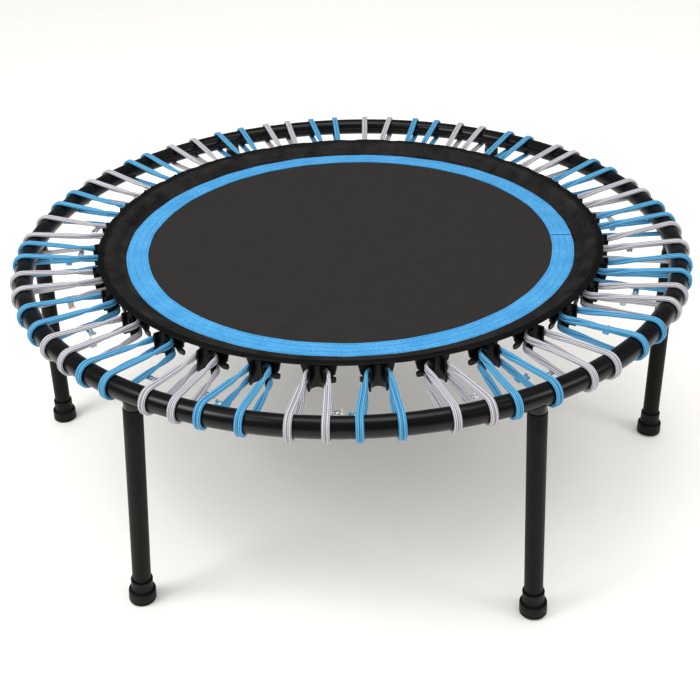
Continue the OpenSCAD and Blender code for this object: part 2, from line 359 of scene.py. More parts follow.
# Faces between rings of corners that follow one another; closed joins the last ring to the first.
def ringFaces(count, sides, closed=True):
    faces = []
    pairs = [(j, (j + 1) % sides) for j in range(sides)]
    for k in range(count if closed else count - 1):
        here, there = k * sides, (k + 1) % count * sides
        faces += [(here + j, there + j, there + i, here + i) for j, i in pairs]
    return faces


def endFaces(count, sides):
    return [tuple(range(sides)), tuple(reversed(range((count - 1) * sides, count * sides)))]


# A closed profile of (r, z) spun round the Z axis. Counter-clockwise profiles face outwards.
def spun(profile, steps, sweep=360.0, first=0.0):
    corners = []
    whole = sweep == 360
    count = steps if whole else steps + 1
    for k in range(count):
        angle = radians(first + sweep * k / steps)
        corners += [polar(r, angle, z) for r, z in profile]
    faces = ringFaces(count, len(profile), whole)
    return corners, faces if whole else faces + endFaces(count, len(profile))


# Rounds the corners of a closed outline; corners is a list of (x, y, radius).
def rounded(outline, steps=3):
    made = []
    n = len(outline)
    for k, (x, y, r) in enumerate(outline):
        here = Vector((x, y))
        before, after = Vector(outline[k - 1][:2]) - here, Vector(outline[(k + 1) % n][:2]) - here
        reach = min(r, before.length * 0.48, after.length * 0.48)
        a, b = here + before.normalized() * reach, here + after.normalized() * reach
        for s in range(steps + 1):
            t = s / steps
            p = a * (1 - t) ** 2 + here * 2 * t * (1 - t) + b * t ** 2
            made.append((p.x, p.y))
    return made


# An outline in the XZ plane pushed from one y to another, with a chamfer on both faces.
def pushed(outline, nearY, farY, chamfer):
    n = len(outline)
    normals = []
    for k in range(n):
        before, after = Vector(outline[k - 1]), Vector(outline[(k + 1) % n])
        along = (after - before).normalized()
        normals.append(Vector((along.y, -along.x)))
    if sum(outline[k - 1][0] * outline[k][1] - outline[k][0] * outline[k - 1][1] for k in range(n)) < 0:
        normals = [-v for v in normals]
    rings = [(nearY, -chamfer), (nearY + chamfer, 0), (farY - chamfer, 0), (farY, -chamfer)]
    corners = [(p[0] + v.x * grow, y, p[1] + v.y * grow)
               for y, grow in rings for p, v in zip(outline, normals)]
    faces = ringFaces(len(rings), n, False) + endFaces(len(rings), n)
    return corners, faces


# The direction of a line of points at one of them.
def heading(line, k):
    return (line[min(k + 1, len(line) - 1)] - line[max(k - 1, 0)]).normalized()


# The two edges of a flat strip round its middle line, at one point of it.
def edgesAt(line, k, half):
    along = heading(line, k)
    off = Vector((-along.y, along.x)) * half
    return tuple(line[k] + off), tuple(line[k] - off)


def joined(parts):
    corners, faces = [], []
    for partCorners, partFaces in parts:
        start = len(corners)
        corners += partCorners
        faces += [tuple(i + start for i in f) for f in partFaces]
    return corners, faces


def moved(part, matrix):
    return [tuple(matrix @ Vector(c)) for c in part[0]], part[1]


def facesOutward(piece):
    work = bmesh.new()
    work.from_mesh(piece.data)
    bmesh.ops.recalc_face_normals(work, faces=work.faces)
    work.to_mesh(piece.data)
    work.free()


# Lays out a UV map from each corner's place.
def mapPiece(piece, place):
    layer = piece.data.uv_layers.new(name="UVMap")
    for item in piece.data.loops:
        layer.data[item.index].uv = place(*piece.data.vertices[item.vertex_index].co)


def atAngle(degrees):
    return Matrix.Translation((0, 0, layout["ringHeight"])) @ Matrix.Rotation(radians(degrees), 4, "Z")


def atLeg(index):
    out, aside = [radians(-lean) for lean in legLeans[index]]
    lean = Matrix.Rotation(aside, 4, "Y") @ Matrix.Rotation(out, 4, "X")
    place = Matrix.Translation((0, -layout["ringRadius"], 0))
    return atAngle(layout["firstLeg"] + layout["legPitch"] * index) @ place @ lean


# From the frame tube's middle to the floor along a leg
def legAxis(index):
    out, aside = [cos(radians(lean)) for lean in legLeans[index]]
    return layout["ringHeight"] / out / aside


# Geometry Nodes trees.

def geo(tree, kind, links=(), **settings):
    return add(tree, "GeometryNode" + kind, links, **settings).outputs[0]


def vector(tree, links):
    return add(tree, "ShaderNodeCombineXYZ", links).outputs[0]


def newTree(name, inputs):
    tree = bpy.data.node_groups.new(name, "GeometryNodeTree")
    for label, kind, value in [("Geometry", "Geometry", None), *inputs, ("Material", "Material", None)]:
        socket = tree.interface.new_socket(label, in_out="INPUT", socket_type="NodeSocket" + kind)
        if value is not None:
            socket.default_value = value
    tree.interface.new_socket("Geometry", in_out="OUTPUT", socket_type="NodeSocketGeometry")
    return tree, add(tree, "NodeGroupInput").outputs


# Every tree ends in real geometry with the given material.
def endTree(tree, given, geometry):
    real = geo(tree, "RealizeInstances", {0: geometry})
    add(tree, "NodeGroupOutput", {0: geo(tree, "SetMaterial", {0: real, "Material": given["Material"]})})
    return tree


# Keeps a spline parameter with a curve, to be laid out as UV after the sweep.
def captured(tree, curve, label, parameter):
    node = add(tree, "GeometryNodeCaptureAttribute")
    node.capture_items.new("FLOAT", label)
    tree.links.new(curve, node.inputs[0])
    tree.links.new(add(tree, "GeometryNodeSplineParameter").outputs[parameter], node.inputs[1])
    return node.outputs


def applyTree(piece, tree, **values):
    modifier = piece.modifiers.new(tree.name, "NODES")
    modifier.node_group = tree
    for socket in tree.interface.items_tree:
        if socket.in_out == "INPUT" and socket.name in values:
            modifier[socket.identifier] = values[socket.name]
    graph = bpy.context.evaluated_depsgraph_get()
    made = bpy.data.meshes.new_from_object(piece.evaluated_get(graph), preserve_all_data_layers=True,
        depsgraph=graph)
    piece.modifiers.clear()
    piece.data = made
    made.name = piece.name
    return piece


# Two tubes side by side along a path that carries its own wide direction.
def tubeTree():
    tree, given = newTree("tubesAlongPath", [("Radius", "Float", 0.0026), ("Spread", "Float", 0.0),
        ("Sides", "Int", 12)])
    wide = geo(tree, "InputNamedAttribute", {"Name": "wide"}, data_type="FLOAT_VECTOR")
    path = geo(tree, "SetCurveNormal", {0: geo(tree, "MeshToCurve", {0: given["Geometry"]}),
        "Normal": wide}, mode="FREE")
    along = captured(tree, path, "along", "Length")
    rim = geo(tree, "CurveArc", {"Resolution": worked(tree, "ADD", given["Sides"], 1.0),
        "Radius": given["Radius"], "Start Angle": 0.0, "Sweep Angle": turnOf})
    around = captured(tree, rim, "around", "Factor")
    both = add(tree, "GeometryNodeJoinGeometry")
    for sign in (-1, 1):
        aside = vector(tree, {0: worked(tree, "MULTIPLY", given["Spread"], sign)})
        profile = geo(tree, "Transform", {0: around[0], "Translation": aside})
        tree.links.new(geo(tree, "CurveToMesh", {0: along[0], 1: profile}), both.inputs[0])
    unrolled = vector(tree, {0: around[1], 1: along[1]})
    laid = geo(tree, "StoreNamedAttribute", {0: both.outputs[0], "Name": "UVMap", "Value": unrolled},
        data_type="FLOAT2", domain="CORNER")
    welded = geo(tree, "MergeByDistance", {0: laid, "Distance": 0.00002})
    return endTree(tree, given, geo(tree, "SetShadeSmooth", {0: welded}))


# Copies of one piece turned round the frame's upright axis.
def copiesTree():
    tree, given = newTree("copiesRoundFrame", [("Count", "Int", 32), ("First", "Float", 0.0),
        ("Pitch", "Float", 0.1)])
    angle = worked(tree, "MULTIPLY_ADD", geo(tree, "InputIndex"), given["Pitch"], given["First"])
    turn = add(tree, "FunctionNodeEulerToRotation", {0: vector(tree, {2: angle})}).outputs[0]
    return endTree(tree, given, geo(tree, "InstanceOnPoints", {0: geo(tree, "Points", {0: given["Count"]}),
        "Instance": given["Geometry"], "Rotation": turn}))


# Stitches laid end to end along a path.
def stitchTree():
    tree, given = newTree("stitchesAlongPath", [("Pitch", "Float", 0.004), ("Length", "Float", 0.003),
        ("Thick", "Float", 0.0006), ("Seed", "Int", 1)])
    path = geo(tree, "MeshToCurve", {0: given["Geometry"]})
    places = add(tree, "GeometryNodeCurveToPoints", {0: path, "Length": given["Pitch"]},
        mode="LENGTH").outputs
    ball = geo(tree, "MeshUVSphere", {"Segments": 6, "Rings": 5, "Radius": 0.5})
    size = vector(tree, {0: given["Thick"], 1: given["Thick"], 2: given["Length"]})
    jitter = add(tree, "FunctionNodeRandomValue", {2: 0.85, 3: 1.1, "Seed": given["Seed"]},
        data_type="FLOAT").outputs[1]
    scale = add(tree, "ShaderNodeVectorMath", {0: size, "Scale": jitter}, operation="SCALE").outputs[0]
    laid = geo(tree, "InstanceOnPoints", {0: places[0], "Instance": ball, "Rotation": places["Rotation"],
        "Scale": scale})
    real = geo(tree, "RealizeInstances", {0: laid})
    return endTree(tree, given, geo(tree, "SetShadeSmooth", {0: real}))


tubesAlongPath, copiesRoundFrame, stitchesAlongPath = tubeTree(), copiesTree(), stitchTree()


def copiedRound(piece, material, count, first, pitch):
    return applyTree(piece, copiesRoundFrame, Count=count, First=radians(first), Pitch=radians(pitch),
        Material=material)


# Lays stitches of a pitch, length and thickness in mm along a path piece.
def stitched(piece, pitch, length, thick, seed, material):
    return applyTree(piece, stitchesAlongPath, Pitch=pitch * mm, Length=length * mm, Thick=thick * mm,
        Seed=seed, Material=material)


# A chain of edges through points, with the wide direction of a tube or cord at each.
def pathPiece(name, points, wides):
    mesh = bpy.data.meshes.new(name)
    mesh.from_pydata([Vector(p) * mm for p in points], [(i, i + 1) for i in range(len(points) - 1)], [])
    wide = mesh.attributes.new("wide", "FLOAT_VECTOR", "POINT")
    wide.data.foreach_set("vector", [c for w in wides for c in w])
    return placed(name, mesh)


def stand(piece, body, slot, *nodes):
    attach(piece, body)
    if nodes:
        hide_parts(*nodes)
    return piece


# A whole piece: outward normals, edges sharper than the angle kept, a UV map and copies if asked, attached to
# its body with its CAD node hidden.
def finished(name, part, material, angle, body, slot, node, copies=None, uv=None):
    piece = newPiece(name, *part, [material])
    facesOutward(piece)
    shadeByAngle(piece, angle)
    if uv:
        mapPiece(piece, uv)
    if copies:
        copiedRound(piece, material, *copies)
    return stand(piece, body, slot, node)


everyClip = (layout["clipCount"], layout["firstClip"], clipPitch)
upToRing = atAngle(0)
quarterTurn = Matrix.Rotation(radians(-90), 4, "Z")


# The round frame.

ringLook = {"wall": 1.5, "edge": 0.5, "sides": 40, "steps": 150, "seamGap": 0.02}


# Half of the frame: a bent tube whose cut ends are broken by a small radius, so that the seam is a fine line.
def makeRingHalf(name, node, start):
    outer, inner = layout["tubeRadius"], layout["tubeRadius"] - ringLook["wall"]
    edge, radius, gap = ringLook["edge"], layout["ringRadius"], ringLook["seamGap"]
    sides, steps = ringLook["sides"], ringLook["steps"]
    edgeAngle = math.degrees(edge / radius)
    ends = [(gap, outer - edge), (edgeAngle * 0.4 + gap, outer - edge * 0.3), (edgeAngle + gap, outer)]
    bend = [180 * k / steps for k in range(1, steps)]
    rings = ends + [(a, outer) for a in bend] + [(180 - a, r) for a, r in reversed(ends)]
    rings += [(a, inner) for a in (180 - gap, *reversed(bend), gap)]
    corners = []
    for angle, r in rings:
        turn = radians(start + angle - 90)
        corners += [polar(radius + r * cos(a), turn, r * sin(a)) for a in turns(sides)]
    part = moved((corners, ringFaces(len(rings), sides)), upToRing)
    finished(name, part, frameCoat, 50, "frame", "frame_powder_coat", node)


makeRingHalf("ringFront", "ring_front_half", layout["seamAngle"] + 180)
makeRingHalf("ringBack", "ring_back_half", layout["seamAngle"])

# Pan-head screws under each seam.
screwLook = {"headRadius": 4.8, "headHeight": 2.5, "shank": 2.4, "length": 7.5, "slot": 0.9, "aside": 5.6,
    "thread": 0.8, "sunk": 0.01}


def makeScrews():
    head, shank, high = screwLook["headRadius"], screwLook["shank"], screwLook["headHeight"]
    end = high + screwLook["length"]
    profile = [(0.01, end - 1), (shank - 0.7, end - 1)]
    z = end - 1.6
    while z > high + 0.5:
        profile += [(shank, z), (shank - 0.45, z - 0.4)]
        z -= screwLook["thread"]
    profile += [(shank, high), (head - 0.2, high), (head, high - 0.3), (head, high * 0.55),
        (head * 0.9, high * 0.22), (head * 0.66, 0.06), (head * 0.3, 0), (0.01, 0)]
    body = spun(profile[::-1], 28)
    recess = rounded([(-2.6, -0.12, 0.05), (2.6, -0.12, 0.05), (2.0, 0.9, 0.1), (-2.0, 0.9, 0.1)], 1)
    bar = pushed(recess, -screwLook["slot"] / 2, screwLook["slot"] / 2, 0.1)
    down = Matrix.Translation((0, -layout["ringRadius"], screwLook["sunk"] - layout["tubeRadius"] - high))
    parts = []
    for side in (-1, 1):
        place = upToRing @ Matrix.Rotation(radians(side * screwLook["aside"]), 4, "Z") @ down
        parts.append(moved(body, place))
        for quarter in (0, 90):  # the two bars of the cross recess
            parts.append(moved(bar, place @ Matrix.Rotation(radians(quarter + 20 * side), 4, "Z")))
    finished("seamScrews", joined(parts), darkZinc, 30, "frame", "screw_black_zinc", "ring_joint_screws",
        (2, layout["seamAngle"], 180))


makeScrews()

# Welded stubs and their threaded studs.
stubLook = {"radius": 12.0, "end": 20.0, "bead": 0.9, "studRadius": 8.0, "studLength": 32.0,
    "threadPitch": 2.0, "threadDepth": 1.1, "hidden": 9.0, "beadSteps": 72, "beadSides": 8}


def onEveryLeg(part):
    return joined([moved(part, atLeg(index)) for index in range(6)])


def makeStubs():
    radius, end, hidden = stubLook["radius"], stubLook["end"], stubLook["hidden"]
    profile = [(0.01, -end), (radius - 0.8, -end), (radius - 0.25, -end + 0.25), (radius, -end + 0.8),
        (radius, -hidden), (radius - 2, -hidden), (0.01, -hidden)]
    steps, sides = stubLook["beadSteps"], stubLook["beadSides"]
    corners = []
    for a in turns(steps):  # the weld runs where the stub meets the round tube, and ripples as it was laid
        x, y = radius * cos(a), radius * sin(a)
        z = -sqrt(layout["tubeRadius"] ** 2 - y ** 2)
        size = stubLook["bead"] * (1 + 0.16 * sin(a * 18) + 0.12 * noise.noise((x * 0.4, y * 0.4, 3)))
        corners += [polar(radius + size * cos(b), a, z + size * sin(b) * 0.9) for b in turns(sides)]
    stub = joined([spun(profile[::-1], 48), (corners, ringFaces(steps, sides))])
    finished("legStubs", onEveryLeg(stub), frameCoat, 40, "frame", "frame_powder_coat", "leg_sockets")


def makeStuds():
    radius, pitch, depth = stubLook["studRadius"], stubLook["threadPitch"], stubLook["threadDepth"]
    length, sides = stubLook["studLength"], 24
    rows = int(length / pitch * 6) + 1
    corners = []
    for k in range(rows):
        z = length * k / (rows - 1)
        for a in turns(sides):
            groove = depth * (1 - abs(2 * ((z / pitch + a / turnOf) % 1) - 1))
            r = radius - groove - 1.2 * (1 - min(1, (length - z) / 2.5))
            corners.append(polar(r, a, -stubLook["end"] - z + 0.5))
    stud = corners, ringFaces(rows, sides, False) + endFaces(rows, sides)
    finished("legStuds", onEveryLeg(stud), zinc, 35, "frame", "zinc_steel", "leg_sockets")


makeStubs()
makeStuds()
print("frame is made")

# Legs and feet.

legLook = {"radius": 12.7, "wall": 1.5, "top": 20.3, "sole": 7.0, "edge": 0.6}
footLook = {"baseRadius": 18.75, "baseHeight": 19.0, "sleeveRadius": 15.0, "sleeveHeight": 19.0,
    "groove": 4.6}


# A profile spun round a leg's axis and cut off level at the floor.
def lowered(profile, index):
    corners, faces = moved(spun(profile, 56), atLeg(index))
    return [(x, y, max(z, 0.0)) for x, y, z in corners], faces


def makeLeg(index):
    radius, wall, edge = legLook["radius"], legLook["wall"], legLook["edge"]
    top, low = -legLook["top"], -(legAxis(index) - legLook["sole"])
    outer = [(radius, low + edge), *[(radius, low + (top - low) * k / 8) for k in range(1, 8)],
        (radius, top - edge)]
    profile = [(radius - wall, low), (radius - edge, low), *outer, (radius - edge * 0.3, top - edge * 0.3),
        (radius - edge, top), (radius - wall, top)]
    number = index + 1
    finished(f"legTube{number}", lowered(profile, index), legCoat, 50, f"leg_{number}", "leg_powder_coat",
        f"leg_tube_{number}")


def makeFoot(index):
    base, sleeve, bore = footLook["baseRadius"], footLook["sleeveRadius"], legLook["radius"] + 0.05
    floor = -legAxis(index)
    baseTop, groove, sole = [floor + h for h in (footLook["baseHeight"], footLook["groove"], legLook["sole"])]
    sleeveTop = baseTop + footLook["sleeveHeight"]
    profile = [(0.01, floor + 1.2), (base * 0.62, floor + 1.2), (base * 0.68, floor + 0.2),
        (base - 2.2, floor), (base - 0.7, floor + 0.35), (base - 0.1, floor + 1.2),
        (base + 0.15, groove - 1.1), (base, groove - 0.6), (base - 0.55, groove - 0.35),
        (base - 0.55, groove + 0.35), (base, groove + 0.6), (base + 0.1, groove + 1.4),
        (base, baseTop - 1.8), (base - 0.25, baseTop - 0.8), (base - 0.8, baseTop - 0.2),
        (base - 1.4, baseTop), (sleeve + 0.35, baseTop), (sleeve + 0.1, baseTop + 0.3),
        (sleeve + 0.05, baseTop + 1.2), (sleeve - 0.1, sleeveTop - 2.4), (sleeve + 0.1, sleeveTop - 1.6),
        (sleeve - 0.05, sleeveTop - 0.5), (sleeve - 0.6, sleeveTop), (bore + 0.5, sleeveTop),
        (bore, sleeveTop - 0.6), (bore, sole), (0.01, sole)]
    number = index + 1
    finished(f"footCap{number}", lowered(profile, index), rubber, 40, f"leg_{number}", "foot_rubber",
        f"foot_cap_{number}")


for index in range(6):
    makeLeg(index)
    makeFoot(index)
print("legs and feet are made")

# The mat, its band and its border.

matLook = {"radius": 352.0, "thick": 1.2, "ripple": 0.22, "rings": 27, "steps": 192}
bandLook = {"inner": 310.5, "outer": 343.5, "thick": 1.2, "waver": 0.7, "facets": 26,
    "stitchRadii": (313.4, 321.6, 331.8, 340.8), "stitchPitch": 4.2, "stitchLength": 3.5,
    "stitchThick": 0.75, "seamAt": 89.9, "seamWidth": 22.0, "lap": 1.1, "middle": 327.0, "steps": 720}
flapLook = {"thick": 1.6, "dip": 2.8, "draw": 3.2, "atHem": 0.3, "hemThick": 3.1}


def clipPhase(degrees):
    return radians((degrees - layout["firstClip"]) * layout["clipCount"])


# The cloth is pulled at every clip, so it lies in faint ripples near its edge.
def ripple(r, degrees):
    near = max(0.0, (r - 250) / 100) ** 2
    return matLook["ripple"] * near * cos(clipPhase(degrees))


def ease(t):
    t = min(1.0, max(0.0, t))
    return t * t * (3 - 2 * t)


# Closed cross-sections of (r, z) at each angle make a round sheet; uvWidth is the radius that its UV map
# is unrolled at.
def roundSheet(name, sectionAt, steps, material, uvWidth=None):
    corners = []
    for k in range(steps):
        degrees = 360 * k / steps
        a = radians(degrees - 90)
        section = sectionAt(degrees)
        corners += [polar(r, a, layout["ringHeight"] + z) for r, z in section]
    piece = newPiece(name, corners, ringFaces(steps, len(section)), [material])
    facesOutward(piece)
    if uvWidth:
        layer = piece.data.uv_layers.new(name="UVMap")
        for polygon in piece.data.polygons:
            angles = []
            for loop in polygon.loop_indices:
                x, y, _ = piece.data.vertices[piece.data.loops[loop].vertex_index].co
                angles.append((loop, atan2(y, x), hypot(x, y)))
            wraps = max(a for _, a, _ in angles) - min(a for _, a, _ in angles) > math.pi
            for loop, a, r in angles:
                layer.data[loop].uv = ((a + turnOf if wraps and a < 0 else a) * uvWidth * mm, r)
    return piece


def makeMat():
    radius, thick, rings, steps = [matLook[key] for key in ("radius", "thick", "rings", "steps")]
    radii = [0.5 + (radius - 1.0) * (k / (rings - 1)) ** 0.8 for k in range(rings)]

    def section(degrees):
        top = [(r, ripple(r, degrees)) for r in radii]
        low = [(r, z - thick) for r, z in reversed(top)]
        return top + [(radius, ripple(radius, degrees) - thick * 0.5)] + low

    piece = roundSheet("matSheet", section, steps, matCloth)
    n = rings * 2 + 1
    work = bmesh.new()
    work.from_mesh(piece.data)
    work.verts.ensure_lookup_table()
    inner = [f for f in work.faces if all(hypot(v.co.x, v.co.y) < 0.7 * mm for v in f.verts)]
    bmesh.ops.delete(work, geom=inner, context="FACES_ONLY")
    for level in (0, n - 1):  # close the middle of the top and of the underside
        work.faces.new([work.verts[k * n + level] for k in range(steps)])
    bmesh.ops.recalc_face_normals(work, faces=work.faces)
    work.to_mesh(piece.data)
    work.free()
    shadeByAngle(piece, 40)
    return stand(piece, "mat", "mat_fabric", "mat_sheet")


random.seed(5)
bandWaver = [random.uniform(-1, 1) * bandLook["waver"] for _ in range(bandLook["facets"])]


# The band is laid in short straight runs, so its outline has faint corners.
def bandShift(degrees):
    place = (degrees % 360) / 360 * bandLook["facets"]
    first = int(place) % bandLook["facets"]
    share = place - int(place)
    bulge = 0.5 * (4 * share * (1 - share) - 0.6)
    return bandWaver[first] * (1 - share) + bandWaver[(first + 1) % bandLook["facets"]] * share - bulge


def makeBand():
    inner, outer, thick = bandLook["inner"], bandLook["outer"], bandLook["thick"]
    seamHalf = math.degrees(bandLook["seamWidth"] / 2 / bandLook["middle"])
    lay, rim, count = 0.02, 0.3, 22

    def section(degrees):
        shift = bandShift(degrees)
        off = abs((degrees - bandLook["seamAt"] + 180) % 360 - 180)
        lap = bandLook["lap"] * min(1, max(0, (seamHalf - off) / 0.12))
        top = []
        for k in range(count + 1):
            r = inner + 0.4 + (outer - inner - 0.8) * k / count
            pull = sum(exp(-((r - s) / 1.1) ** 2) for s in bandLook["stitchRadii"])
            crown = 0.12 * cos(clipPhase(degrees) * 0.5 + r)
            top.append((r + shift, ripple(r, degrees) + thick + lap - 0.32 * pull + crown))
        inZ, outZ = ripple(inner, degrees), ripple(outer, degrees)
        return [(inner + shift, inZ + thick * 0.5), (inner + rim + shift, inZ + lay),
            (outer - rim + shift, outZ + lay), (outer + shift, outZ + thick * 0.5)] + top[::-1]

    piece = roundSheet("blueBand", section, bandLook["steps"], bandWebbing, bandLook["middle"])
    shadeByAngle(piece, 60)
    return stand(piece, "mat", "band_webbing", "blue_band")


def circlePath(name, radius, z, steps=360):
    points, wides = [], []
    for k in range(steps + 1):
        degrees = 360 * k / steps
        a = radians(degrees - 90)
        r = radius + bandShift(degrees)
        points.append(polar(r, a, layout["ringHeight"] + z + ripple(radius, degrees)))
        wides.append(polar(1, a, 0))
    return pathPiece(name, points, wides)


def joinPieces(name, pieces):
    mesh = bpy.data.meshes.new(name)
    work = bmesh.new()
    for piece in pieces:
        work.from_mesh(piece.data)
    work.to_mesh(mesh)
    work.free()
    for material in dict.fromkeys(m for piece in pieces for m in piece.data.materials):
        mesh.materials.append(material)
    slots = list(mesh.materials)
    start = 0
    for piece in pieces:
        for polygon in piece.data.polygons:
            material = piece.data.materials[polygon.material_index]
            mesh.polygons[start + polygon.index].material_index = slots.index(material)
        start += len(piece.data.polygons)
    whole = placed(name, mesh)
    for piece in pieces:
        bpy.data.objects.remove(piece)
    return whole


def makeBandStitches():
    rows = []
    for number, radius in enumerate(bandLook["stitchRadii"]):
        rows.append(stitched(circlePath(f"row{number}", radius, bandLook["thick"] - 0.1),
            bandLook["stitchPitch"], bandLook["stitchLength"], bandLook["stitchThick"], number + 3, blueThread))
    # A bar of darker thread closes the overlap.
    degrees = bandLook["seamAt"] - math.degrees((bandLook["seamWidth"] / 2 - 1) / bandLook["middle"])
    a = radians(degrees - 90)
    lift = layout["ringHeight"] + bandLook["thick"] + bandLook["lap"]
    bar = [polar(r, a, lift + ripple(r, degrees)) for r in range(312, 343, 2)]
    rows.append(stitched(pathPiece("seamBar", bar, [(0, 0, 1)] * len(bar)), 1.9, 2.1, 1.3, 2, seamThread))
    return stand(joinPieces("bandStitches", rows), "mat", "band_webbing", "blue_band")


makeMat()
makeBand()
makeBandStitches()
print("mat and band are made")

# The border cloth climbs from the band over the clips' back plates, lies flat on each plate and sinks
# between them.
flapLine = [(344.2, 0.9), (348.5, 0.9), (351.8, 1.3), (354.2, 3.4), (356.6, 6.6), (359.0, 9.8),
    (361.4, 12.2), (364.4, 13.5), (368.0, 14.0), (372.0, 14.2), (376.0, 14.4), (380.0, 14.5), (383.6, 14.6)]
random.seed(23)
gapDips = [random.uniform(0.75, 1.25) for _ in range(layout["clipCount"])]


def flapAt(s, degrees):
    place = s * (len(flapLine) - 1)
    k = min(int(place), len(flapLine) - 2)
    (r0, z0), (r1, z1) = flapLine[k], flapLine[k + 1]
    r, z = r0 + (r1 - r0) * (place - k), z0 + (z1 - z0) * (place - k)
    steps = (degrees - layout["firstClip"]) / clipPitch
    off = abs(steps - round(steps)) * clipPitch
    gap = gapDips[int(math.floor(steps)) % layout["clipCount"]]
    climb = min(1.0, max(0.0, (s - 0.15) / 0.35))
    flatHalf = 1.4 + 2.1 * climb
    t = min(1.0, max(0.0, (off - flatHalf) / (clipPitch / 2 - flatHalf)))
    lift = climb * (1 - (1 - flapLook["atHem"]) * ease((s - 0.5) / 0.3))
    sunk = (2 * t - t * t) * gap * lift
    wander = noise.noise((cos(radians(degrees)) * 3, sin(radians(degrees)) * 3, s)) * lift
    return r - flapLook["draw"] * sunk + 0.35 * wander, z - flapLook["dip"] * sunk + 0.3 * wander


# A band of even thickness either side of the flap's line, from one share of its width to another.
def flapSection(first, last, count, thick, degrees, reach=0.0, roundEnds=False):
    line = [Vector(flapAt(first + (last - first) * k / count, degrees)) for k in range(count + 1)]
    line[-1] = line[-1] + (line[-1] - line[-2]).normalized() * reach
    halves = [thick * (0.225 if roundEnds and k in (0, count) else 0.5) for k in range(count + 1)]
    top, low = zip(*[edgesAt(line, k, half) for k, half in enumerate(halves)])
    tip = [tuple(line[-1] + (line[-1] - line[-2]).normalized() * thick * 0.22)] if roundEnds else []
    return [*low, *tip, *top[::-1]]


def makeFlap():
    piece = roundSheet("borderFlap", lambda d: flapSection(0, 1, 30, flapLook["thick"], d), 768, flapCloth)
    shadeByAngle(piece, 60)
    stand(piece, "mat", "flap_fabric", "border_flap")
    hem = roundSheet("flapHem", lambda d: flapSection(0.775, 1, 9, flapLook["hemThick"], d, 0.9, True), 768,
        hemTape)
    shadeByAngle(hem, 75)
    stand(hem, "mat", "flap_fabric", "border_flap")
    row = []
    for k in range(721):
        degrees = k / 2
        r, z = flapAt(0.81, degrees)
        a = radians(degrees - 90)
        row.append(polar(r, a, layout["ringHeight"] + z + flapLook["hemThick"] / 2))
    stitches = stitched(pathPiece("hemStitches", row, [(0, 0, 1)] * len(row)), 3.8, 3.0, 0.7, 9, blackThread)
    stand(stitches, "mat", "flap_fabric", "border_flap")


makeFlap()
print("border flap is made")

# Clips and their straps.

clipLook = {"barrelAt": 390.0, "topRadius": 11.0, "lowRadius": 12.5, "wall": 3.0, "wrap": 200.0,
    "top": 12.6, "low": -21.5, "webTop": -4.8, "webLow": -8.6, "plateAt": 371.0, "plateThick": 3.0,
    "barAt": 361.8, "barHeight": -3.2, "barRadius": 2.5, "barHalf": 14.0, "lugAside": 15.0, "lugHalf": 1.6,
    "bead": 1.62}
strapLook = {"width": 25.0, "thick": 1.3, "innerEnd": 318.0, "topLayer": -1.95, "lowLayer": -3.4,
    "sewnHalf": 10.0, "sewnFrom": 321.0, "sewnTo": 344.0}


def makeClips():
    look = clipLook
    wall, top, low, bead = look["wall"], look["top"], look["low"], look["bead"]
    barrelAt, plateAt, thick = look["barrelAt"], look["plateAt"], look["plateThick"]
    barAt, barZ = look["barAt"], look["barHeight"]
    barrel = spun(rounded([(look["topRadius"] - wall, top, 1.0), (look["topRadius"], top, 0.9),
        (look["lowRadius"], low, 0.9), (look["lowRadius"] - wall, low, 1.0)], 3), 36, look["wrap"],
        90 - look["wrap"] / 2)
    parts = [moved(barrel, Matrix.Translation((0, -barrelAt, 0)))]
    for side in (-1, 1):  # the open edges of the half pipe end in a round bead
        angle = radians(90 + side * look["wrap"] / 2)
        ends = [(look["topRadius"] - wall / 2, top - 1.2), (look["lowRadius"] - wall / 2, low + 1.2)]
        a, b = [Vector((r * cos(angle), -barrelAt + r * sin(angle), z)) for r, z in ends]
        long = (a - b).length
        rod = spun([(0.01, -0.7), (1.0, -0.55), (bead, 0.1), (bead, 1.0), (bead, long - 1.0),
            (bead, long - 0.1), (1.0, long + 0.55), (0.01, long + 0.7)], 12)
        turn = (a - b).to_track_quat("Z", "X").to_matrix().to_4x4()
        parts.append(moved(rod, Matrix.Translation(b) @ turn))
    half = [(23, top, 6.5), (23.3, top - 9, 3), (22.4, 0, 3), (20.4, -8.6, 2), (18.0, -9.8, 1.2),
        (18.0, -12.2, 1.2), (21.8, -13.4, 2.8), (21.2, low + 0.2, 3.8), (12.5, low + 0.2, 3),
        (9, low + 1.2, 2), (5, -15, 2.5)]
    outline = half + [(-x, z, r) for x, z, r in reversed(half)]
    parts.append(pushed(rounded(outline, 4), -plateAt, -plateAt + thick, 0.6))
    web = [(x, look[z], 0.7) for x, z in ((-4, "webLow"), (4, "webLow"), (4, "webTop"), (-4, "webTop"))]
    parts.append(pushed(rounded(web, 2), -barrelAt + look["topRadius"] - 1.4, -plateAt + 0.6, 0.2))
    near = plateAt - thick + 0.5
    lug = rounded([(barAt - 3.6, barZ - 2.4, 2.2), (near, barZ - 3.4, 0.4), (near, barZ + 3.2, 0.4),
        (barAt - 3.6, barZ + 2.2, 2.2)], 4)
    for side in (-1, 1):
        middle = side * look["lugAside"]
        lugPart = pushed(lug, middle - look["lugHalf"], middle + look["lugHalf"], 0.4)
        parts.append(moved(lugPart, quarterTurn))
    barHalf, barRadius = look["barHalf"], look["barRadius"]
    bar = spun([(0.01, -barHalf), (barRadius, -barHalf), (barRadius, barHalf), (0.01, barHalf)], 20)
    across = Matrix.Translation((0, -barAt, barZ)) @ Matrix.Rotation(radians(90), 4, "Y")
    parts.append(moved(bar, across))
    whole = moved(joined(parts), upToRing)
    finished("matClips", whole, nylon, 40, "mat", "clip_nylon", "mat_clips", everyClip)


